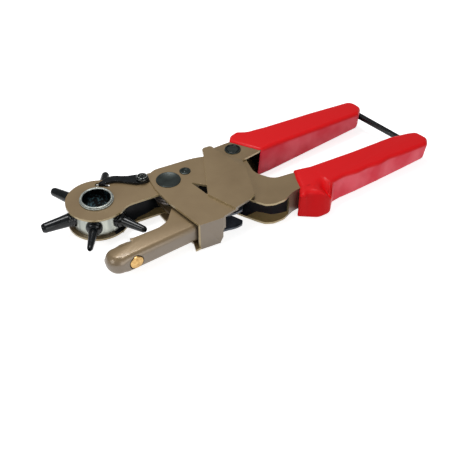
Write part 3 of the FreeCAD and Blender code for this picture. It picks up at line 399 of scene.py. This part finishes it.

# The floors of the turret jaw and the lower lever get painted shade behind a border of (x, y)
# points in mm, and pale painted light in front of it. Each channel has its body, and the share of
# hidden sky past which its walls get painted shade.
jaw_floor, lever_floor = -6.7 * mm, -6.5 * mm
jaw_border = [(4.0, -19.0), (14.0, -14.0), (21.4, -9.5), (28.4, -8.3), (34.0, -6.2),
              (38.2, -7.2), (42.0, -12.0)]
lever_border = [(60.0, -39.0), (80.0, -38.5), (88.0, -37.6), (91.2, -40.6), (94.7, -44.0),
                (98.8, -45.2), (103.2, -45.6), (125.0, -50.0)]
lever_end_x, jaw_tail_x = 68 * mm, 60.2 * mm
channels = [
    ("turret_jaw", "frame", 0.30),
    ("upper_handle_frame", "frame", 0.35),
    ("lower_handle_frame", "lower_handle", 0.35),
    ("anvil_jaw", "anvil", 0.35),
]
for node, body, limit in channels:
    form = cleaned_copy(node)
    paint_inside(form, limit, outside if node == "anvil_jaw" else sheared)
    if node == "turret_jaw":
        paint_floor(form, jaw_floor, jaw_border)
    if node == "lower_handle_frame":
        paint_floor(form, lever_floor, lever_border)
        # The lever's end short of lever_end_x gets a matt black painted shadow.
        paint_end(form, lever_end_x, -1, lever_end)
    if node == "anvil_jaw":
        # The anvil jaw's tail past jaw_tail_x gets the lighter grey copy of the painted shade.
        paint_end(form, jaw_tail_x, 1, jaw_tail)
        dome_nose(form)
    finished(node + "_enamelled", form, body, channel_paints, node, edge_lip,
             lip_material=sheared)

# Grips: red vinyl moulded over the two tangs, smooth and slightly waxy, without a seam. Its sides
# are painted pinkish in patches, a painted sheen where light falls on them; the guard's scooped
# face has no sheen painted and stays deep red. The vinyl's pores are drawn at 0.5 mm, coarser
# than real ones, so that they soften the shine.
def moulded_vinyl(name, side_tone, sheen_patch_tone, top_tone, roughness, mirror):
    made, tree, shader = new_finish(name, {"Roughness": roughness, "Specular IOR Level": mirror})
    sides = soft_patches(tree, 16 * mm, 2.0, (0.38, side_tone), (0.64, sheen_patch_tone))
    places = add_node(tree, "ShaderNodeTexCoord")
    facing = add_node(tree, "ShaderNodeSeparateXYZ", inputs={"Vector": places.outputs["Normal"]})
    upward = add_node(tree, "ShaderNodeMapRange", inputs={
        "Value": facing.outputs["Z"], "From Min": 0.05, "From Max": 0.45})
    tint = add_node(tree, "ShaderNodeMix", {"data_type": "RGBA"}, {
        0: upward.outputs[0], 6: sides, 7: linear(top_tone)})
    tree.links.new(tint.outputs[2], shader.inputs["Base Color"])
    tree.links.new(fine_relief(tree, 0.5 * mm, 0.05), shader.inputs["Normal"])
    return made


vinyl = moulded_vinyl("moulded_red_vinyl", "dc2c40", "ea5866", "da1116", 0.42, 0.25)
deep_vinyl = moulded_vinyl("deep_red_vinyl", "cc1418", "cc1418", "d21218", 0.5, 0.1)
grip_crease = 42.0


def lean_ends(form, front_x, rear_x, front_lean, rear_lean, half_high):
    """Slants a grip's ends: the low corner of its front and the lower half of its rear."""
    front_reach, side_reach = 12 * mm, 4 * mm
    rear_reach, rear_end = 9 * mm, 3 * mm
    middle_tilt = 0.35
    for corner in form.verts:
        in_front = how_far(corner.co.x, front_x + front_reach, front_x)
        low_side = how_far(corner.co.y, side_reach, -side_reach)
        behind = how_far(corner.co.x, rear_x - rear_reach, rear_x - rear_end)
        depth = how_far(corner.co.z, 0.0, -half_high)
        tilt = middle_tilt + (1 - middle_tilt) * corner.co.z / half_high
        corner.co.x += in_front * low_side * front_lean * tilt - behind * rear_lean * depth


def split_along(form, way, places, limit_x):
    """Cuts the faces before one x square to a direction, at each of the places in mm."""
    for place in places:
        near = [face for face in form.faces if face.calc_center_median().x < limit_x]
        cut_across(form, near, Vector(way) * place * mm, way)


def scoop_guard(form):
    """Slants the face of the finger guard, arches its top rim and rounds the rim's rear end down."""
    grip_end, guard_end, guard_side = 240.0, 132.0, -42.5
    middle, grip_height = 118.5, 19.4
    arch_rise, arch_bend, arch_sink = 3.4, 0.125, -1.8
    fall_depth, fall_from, fall_to = 0.82, 120.0, 129.0
    face_from, face_to = -47.0, -50.0
    rim_from, rim_to = -42.8, -52.8
    long_cuts = [110.5 + 1.5 * step for step in range(15)]
    side_cuts = [-54.0 + 1.4 * step for step in range(9)]
    split_along(form, (1, 0, 0), [guard_end], grip_end * mm)
    split_along(form, (1, 0, 0), long_cuts, guard_end * mm)
    split_along(form, (0, 1, 0), side_cuts, guard_end * mm)
    for corner in form.verts:
        place = corner.co / mm
        if place.x > guard_end - 1 or place.y > guard_side:
            continue
        near_face = how_far(place.y, face_from, face_to)
        height = how_far(place.z, -grip_height / 2, grip_height / 2)
        arch = max(arch_rise - arch_bend * (place.x - middle) ** 2, arch_sink)
        if place.x > middle:
            arch = max(arch, 0.0)
        corner.co.y += arch * near_face * height * height * mm
        if place.z > 0:
            fall = how_far(place.x, fall_from, fall_to)
            rim = how_far(place.y, rim_from, rim_to)
            corner.co.z *= 1 - fall_depth * fall * fall * eased(rim)


def fill_hollows(form):
    """Fades the finger hollows out down the grip's side, so that its low edge runs straight."""
    crests = [(131.0, -48.6), (145.7, -48.0), (157.7, -47.0), (174.0, -45.2), (190.9, -43.2),
              (206.0, -41.2)]
    outer_y, side_depth = -0.2, 4 * mm
    fade_from, fade_to = 4 * mm, -6 * mm
    shell = BVHTree.FromBMesh(form)
    moves = []
    for corner in form.verts:
        crest_y = line_at(crests, corner.co.x / mm)
        if crest_y is None:
            continue
        side = shell.ray_cast(Vector((corner.co.x, outer_y, 0)), Vector((0, 1, 0)))[0]
        if side and crest_y * mm < side.y and corner.co.y < side.y + side_depth:
            fade = how_far(corner.co.z, fade_from, fade_to)
            moves.append((corner, (crest_y * mm - side.y) * fade))
    for corner, move in moves:
        corner.co.y += move


form = cleaned_copy("upper_grip")
lean_ends(form, front_x=106 * mm, rear_x=196.4 * mm, front_lean=2.4 * mm, rear_lean=2.6 * mm,
          half_high=10.7 * mm)
finished("upper_grip_moulded", form, "frame", [vinyl], "upper_grip", crease=grip_crease)
form = cleaned_copy("lower_grip")
lean_ends(form, front_x=90 * mm, rear_x=215.5 * mm, front_lean=0, rear_lean=3.5 * mm,
          half_high=8 * mm)
scoop_guard(form)
fill_hollows(form)
form.normal_update()
scoop_end, scoop_side, scoop_rise = 129.0, -46.5, 0.6
for face in form.faces:
    centre = face.calc_center_median() / mm
    if centre.x < scoop_end and centre.y < scoop_side and face.normal.z < scoop_rise:
        face.material_index = 1
finished("lower_grip_moulded", form, "lower_handle", [vinyl, deep_vinyl], "lower_grip",
         crease=grip_crease)

# Punch drum: aluminium turned on a lathe, with a seat for each tube. It is bright and satin,
# clouded in upright streaks of duller grey about 3 mm wide.
streak_width, streak_stretch = 3 * mm, 0.15
aluminium, tree, shader = new_finish("turned_bright_aluminium", {"Metallic": 1.0})
places = add_node(tree, "ShaderNodeTexCoord")
stretched = add_node(tree, "ShaderNodeMapping", inputs={
    "Vector": places.outputs["Object"], "Scale": (1, 1, streak_stretch)})
streaks = add_node(tree, "ShaderNodeTexNoise", inputs={
    "Vector": stretched.outputs["Vector"], "Scale": 1 / streak_width, "Detail": 5.0})
tones = add_node(tree, "ShaderNodeValToRGB", inputs={"Fac": streaks.outputs["Fac"]})
tones.color_ramp.elements[0].position = 0.30
tones.color_ramp.elements[0].color = linear("8f938e")
tones.color_ramp.elements[1].position = 0.70
tones.color_ramp.elements[1].color = linear("c6c9be")
tree.links.new(tones.outputs["Color"], shader.inputs["Base Color"])
dulled = add_node(tree, "ShaderNodeMapRange", inputs={
    "Value": streaks.outputs["Fac"], "To Min": 0.26, "To Max": 0.42})
tree.links.new(dulled.outputs[0], shader.inputs["Roughness"])
finished("punch_drum_turned", cleaned_copy("punch_drum"), "drum", [aluminium],
         "punch_drum", 0.2 * mm, 40.0)

# Punch tubes: six hardened steel tubes, turned to a taper and a sharp mouth, blackened and
# oiled, and pressed into the drum up to a collar. Oil leaves them dark with small bright glints.
black_oxide = mottled("oiled_black_oxide_steel", 2.5 * mm, 4.0, (0.35, "08090b"), (0.75, "181d20"), {
    "Roughness": 0.2, "Metallic": 0.2, "Specular IOR Level": 0.3,
    "Coat Weight": 0.12, "Coat Roughness": 0.12})
tube_bores = {"punch_tube_20": 2.0, "punch_tube_25": 2.5, "punch_tube_30": 3.0,
              "punch_tube_35": 3.5, "punch_tube_40": 4.0, "punch_tube_45": 4.5}
tube_end = 35.1
seat_turn = 2.0
tubes_before = 2


def turned(outline, place, way, steps=64):
    """A closed outline of (radius, height) pairs in millimetres, spun about an axis."""
    form = bmesh.new()
    corners = [form.verts.new((radius * mm, 0, height * mm)) for radius, height in outline]
    ring = [form.edges.new((corners[n - 1], corners[n])) for n in range(len(corners))]
    bmesh.ops.spin(form, geom=corners + ring, cent=(0, 0, 0), axis=(0, 0, 1),
                   angle=2 * math.pi, steps=steps, use_merge=True, use_duplicate=False)
    bmesh.ops.remove_doubles(form, verts=form.verts, dist=merge_reach)
    bmesh.ops.dissolve_degenerate(form, edges=form.edges, dist=cut_reach)
    bmesh.ops.recalc_face_normals(form, faces=form.faces)
    turn = Vector(way).to_track_quat("Z", "X").to_matrix().to_4x4()
    bmesh.ops.transform(form, verts=form.verts, matrix=Matrix.Translation(place) @ turn)
    return form


for step, (node, bore) in enumerate(tube_bores.items()):
    tip = bore / 2 + 0.75
    outline = [
        (bore / 2, 22.0), (bore / 2, tube_end), (bore / 2 + 0.15, tube_end),
        (tip, tube_end - 1.2), (tip + 0.06, tube_end - 1.7), (tip + 0.95, 19.6),
        (tip + 1.05, 19.2), (4.0, 18.6), (4.35, 18.1), (4.4, 17.3), (4.9, 17.0), (5.0, 16.6),
        (5.0, 15.4), (3.1, 15.4), (3.1, 11.2), (0.0, 11.2), (0.0, 22.0),
    ]
    turn = math.radians(seat_turn + 360 / len(tube_bores) * (step - tubes_before))
    form = turned(outline, (0, 0, 0), (math.cos(turn), math.sin(turn), 0))
    finished(node + "_oiled", form, "drum", [black_oxide], node, 0.12 * mm, 30.0)

# Axle: a steel eyelet that the drum turns on, rolled over at both ends on a bright washer. The
# rolled rim is bright and satin; the bore is painted dark as shade, with a few steely teal patches
# of painted reflection.
bright = mottled("bright_rolled_steel", 1.5 * mm, 4.0, (0.30, "868c8a"), (0.70, "b9bdb6"),
                 {"Metallic": 1.0, "Roughness": 0.5})
bore_shade_and_reflection = mottled("bore_painted_shade_and_reflection", 2.2 * mm, 5.0, (0.50, "040506"), (0.74, "47666f"),
                {"Metallic": 0.9, "Roughness": 0.3})
bore_radius = 8.5


def both_ends(upper):
    """A closed outline from its upper half, the lower half being its mirror image."""
    return upper + [(radius, -height) for radius, height in reversed(upper)]


def ring_faces(form, centre, least, most):
    """The faces whose middles lie between two radii in mm from an upright axis."""
    found = []
    for face in form.faces:
        out = face.calc_center_median() - Vector(centre)
        if least < math.hypot(out.x, out.y) / mm < most:
            found.append(face)
    return found


eyelet = both_ends([(bore_radius, 9.4), (8.62, 9.75), (8.9, 9.95), (9.25, 10.0), (9.6, 9.93),
                    (9.85, 9.7), (9.9, 9.4), (9.8, 9.15), (9.3, 9.1)])
form = turned(eyelet, (0, 0, 0), (0, 0, 1), 96)
for face in ring_faces(form, (0, 0, 0), 0.0, bore_radius + 0.05):
    face.material_index = 1
finished("drum_axle_rolled", form, "frame", [bright, bore_shade_and_reflection], "drum_axle", crease=60.0)
finished("axle_washers_bright", cleaned_copy("axle_washers"), "frame", [bright],
         "axle_washers", 0.2 * mm)

# Rivets and pins: mild steel, blackened, a dull greenish black that shines softly. The rivets'
# heads are pressed almost flush with the plates: the main one a flat disc inside a thin rim, the
# handle's and the small pair's with a groove round the middle.
black_rivet = mottled("blackened_rivet_steel", 3.5 * mm, 5.0, (0.30, "1b2220"), (0.72, "2c3633"),
                      {"Metallic": 0.4, "Roughness": 0.34})
main_pivot = (45.0 * mm, -3.6 * mm, 0)
handle_pivot = (93.9 * mm, 6.4 * mm, 0)


def middle_of(node):
    """The middle of a node's box, brought down to the tool's mid plane."""
    low_corner, high_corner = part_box(node)
    return Vector(((low_corner.x + high_corner.x) / 2, (low_corner.y + high_corner.y) / 2, 0))


main_outline = both_ends([(5.0, 9.5), (7.6, 9.5), (7.6, 9.75), (7.3, 10.0), (6.85, 10.0),
                          (6.6, 9.85), (0.0, 9.85)])
form = turned(main_outline, main_pivot, (0, 0, 1), 96)
finished("main_pivot_rivet_head", form, "frame", [black_rivet], "main_pivot_rivet",
         0.1 * mm)
handle_outline = both_ends([(3.2, 9.5), (5.2, 9.5), (5.2, 9.9), (4.9, 10.2), (4.5, 10.2),
                            (4.3, 9.7), (3.7, 9.7), (3.5, 10.0), (0.0, 10.1)])
form = turned(handle_outline, handle_pivot, (0, 0, 1), 72)
# The groove round the handle rivet's middle is painted in the darker oxide, as painted shade.
for face in ring_faces(form, handle_pivot, 3.55, 4.45):
    face.material_index = 1
finished("handle_pivot_rivet_head", form, "frame", [black_rivet, black_oxide],
         "handle_pivot_rivet", 0.1 * mm)
small_outline = [(1.8, 6.7), (1.8, 9.5), (3.5, 9.5), (3.5, 9.8), (3.2, 10.0), (2.3, 10.0),
                 (1.7, 9.4), (0.9, 9.4), (0.5, 9.7), (0.0, 9.75), (0.0, 6.7)]
small_place = middle_of("frame_rivets")
for side, label in ((1, "top"), (-1, "low")):
    outline = [(radius, height * side) for radius, height in small_outline]
    form = turned(outline, small_place, (0, 0, 1), 48)
    finished("frame_rivet_" + label, form, "frame", [black_rivet], "frame_rivets",
             0.08 * mm)
for node, body in (("thrust_pin", "lower_handle"), ("latch_pivot_pin", "lower_handle"),
                   ("latch_catch_pin", "frame")):
    finished(node + "_black", cleaned_copy(node), body, [black_rivet], node, 0.15 * mm)

# Spring, bush and shims: a coil of phosphated spring wire, a dull warm grey, wound round a
# bright steel bush between two bright shims, with a leg to each jaw.
phosphated = mottled("phosphated_spring_wire", 2 * mm, 4.0, (0.30, "6f6864"), (0.70, "9a918c"),
                     {"Metallic": 0.6, "Roughness": 0.4})
finished("return_spring_wire", cleaned_copy("return_spring"), "frame", [phosphated],
         "return_spring", crease=50.0)
for node in ("pivot_bush", "jaw_shims"):
    finished(node + "_bright", cleaned_copy(node), "frame", [bright], node)

# Index lever: spring strip, blackened and oiled like the tubes, its nose turned down through a
# slot to the drum's dimples. A black pan screw holds it; its edges, round its cross recess too,
# carry a bright lip, a painted highlight that also stands for rubbing.
finished("index_lever_blued", cleaned_copy("index_lever"), "index", [black_oxide],
         "index_lever", 0.3 * mm)
screw_place = middle_of("index_screw")
screw_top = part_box("index_screw")[1].z / mm
pan = [(1.5, 6.7), (1.5, screw_top - 1.8), (3.6, screw_top - 1.8), (3.8, screw_top - 1.2),
       (3.5, screw_top - 0.5), (2.8, screw_top), (0.0, screw_top), (0.0, 6.7)]
recess_arm, recess_half, recess_depth = 2.2, 0.55, 0.9
recess_turn = math.radians(25)
form = turned(pan, screw_place, (0, 0, 1), 48)
bmesh.ops.dissolve_limit(form, angle_limit=flat_angle, verts=form.verts, edges=form.edges)
top_faces = [face for face in form.faces if face.calc_center_median().z > (screw_top - 0.05) * mm]
arms = (Vector((math.cos(recess_turn), math.sin(recess_turn), 0)),
        Vector((-math.sin(recess_turn), math.cos(recess_turn), 0)))
for arm in arms:
    for offset in (-recess_arm, -recess_half, recess_half, recess_arm):
        top_faces = cut_across(form, top_faces, screw_place + arm * offset * mm, arm)
recess = []
for face in top_faces:
    out = face.calc_center_median() - screw_place
    across, along = sorted(abs(out.dot(arm)) / mm for arm in arms)
    if across < recess_half and along < recess_arm:
        recess.append(face)
sunk = bmesh.ops.extrude_face_region(form, geom=recess)
sunk_corners = [part for part in sunk["geom"] if isinstance(part, bmesh.types.BMVert)]
bmesh.ops.translate(form, verts=sunk_corners, vec=(0, 0, -recess_depth * mm))
bmesh.ops.delete(form, geom=recess, context="FACES")
finished("index_screw_pan", form, "frame", [black_oxide, bright], "index_screw",
         0.14 * mm, lip_material=1)

# Latch: a flat hook cut from steel strip and blackened like the tubes. It hangs loose on its pin
# in the lower handle and hooks over the pin in the upper one.
finished("latch_hook_black", cleaned_copy("latch_hook"), "latch", [black_oxide],
         "latch_hook", 0.3 * mm)

# Anvil: a brass plug pressed into the jaw's nose, its head turned down a little, so that a dark
# gap rings it. Use has polished its face, which is golden with duller patches.
brass = mottled("polished_brass", 2 * mm, 4.0, (0.30, "a37c48"), (0.70, "d6b276"),
                {"Metallic": 0.9, "Roughness": 0.3})
anvil_turn = math.radians(4.5)
anvil_foot = (3.77 * mm, -53.29 * mm, 0)
plug = [(0.0, 0.05), (3.6, 0.1), (4.0, 0.35), (4.15, 0.8), (4.15, 1.6), (4.6, 1.9), (4.6, 14.2),
        (4.3, 14.5), (0.0, 14.5)]
form = turned(plug, anvil_foot, (-math.sin(anvil_turn), math.cos(anvil_turn), 0))
finished("brass_anvil_plug", form, "anvil", [brass], "brass_anvil", 0.1 * mm)
